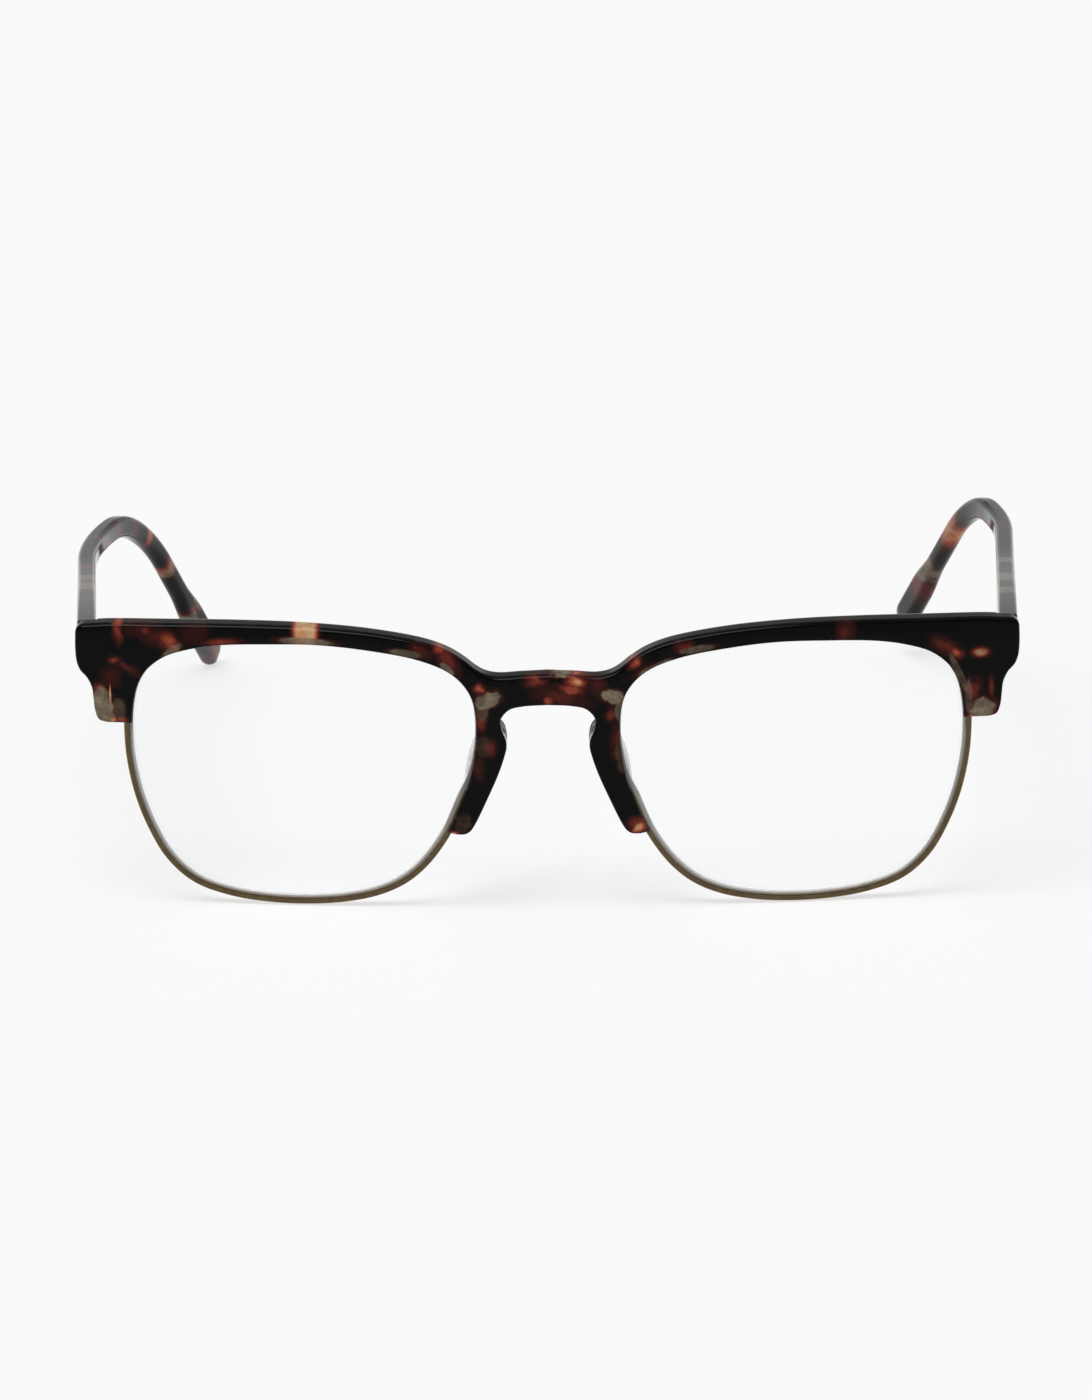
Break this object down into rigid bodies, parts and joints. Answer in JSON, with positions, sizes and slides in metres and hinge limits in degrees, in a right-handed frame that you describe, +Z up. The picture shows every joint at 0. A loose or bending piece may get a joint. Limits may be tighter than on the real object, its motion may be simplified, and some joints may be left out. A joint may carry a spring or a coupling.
{
  "type": "eyeglass frame",
  "caption": "Combination eyeglass frame with a tortoiseshell acetate front, thin metal lower rims, clear lenses, crystal nose pads and hinged acetate temples.",
  "frame": {"origin": "on the floor under the middle of the open frame's box, which stands on its rims and temple tips", "axes": "+X towards the wearer's left across the front, +Y back along the temples, +Z up"},
  "size_m": [0.1482, 0.1432, 0.043],
  "materials": {
    "tortoise_acetate": "polished dark tortoiseshell cellulose acetate",
    "clear_lens": "clear demo lens, polished",
    "antique_bronze": "antique gold plating, satin",
    "crystal_pad": "translucent crystal acetate, polished",
    "hinge_steel": "bright nickel silver"
  },
  "bodies": {
    "front": {"acetate_front": "tortoise_acetate", "right_lens": "clear_lens", "left_lens": "clear_lens", "right_lower_rim": "antique_bronze", "left_lower_rim": "antique_bronze", "right_lug_rim_screw": "antique_bronze", "left_lug_rim_screw": "antique_bronze", "right_nose_rim_screw": "antique_bronze", "left_nose_rim_screw": "antique_bronze", "right_nose_pad": "crystal_pad", "left_nose_pad": "crystal_pad", "right_front_hinge_leaf": "hinge_steel", "left_front_hinge_leaf": "hinge_steel", "right_hinge_screw": "hinge_steel", "left_hinge_screw": "hinge_steel"},
    "right_temple": {"right_temple": "tortoise_acetate", "right_temple_hinge_leaf": "hinge_steel", "right_temple_core_wire": "hinge_steel"},
    "left_temple": {"left_temple": "tortoise_acetate", "left_temple_hinge_leaf": "hinge_steel", "left_temple_core_wire": "hinge_steel"}
  },
  "joints": [
    {"name": "right_temple_fold", "type": "hinge", "parent": "front", "child": "right_temple", "pos_m": [-0.06556, -0.05989, 0.03859], "axis": [0, -0.0052, -1], "range_deg": [0, 86.5]},
    {"name": "left_temple_fold", "type": "hinge", "parent": "front", "child": "left_temple", "pos_m": [0.06514, -0.05989, 0.03859], "axis": [0, 0.0052, 1], "range_deg": [0, 78]}
  ]
}
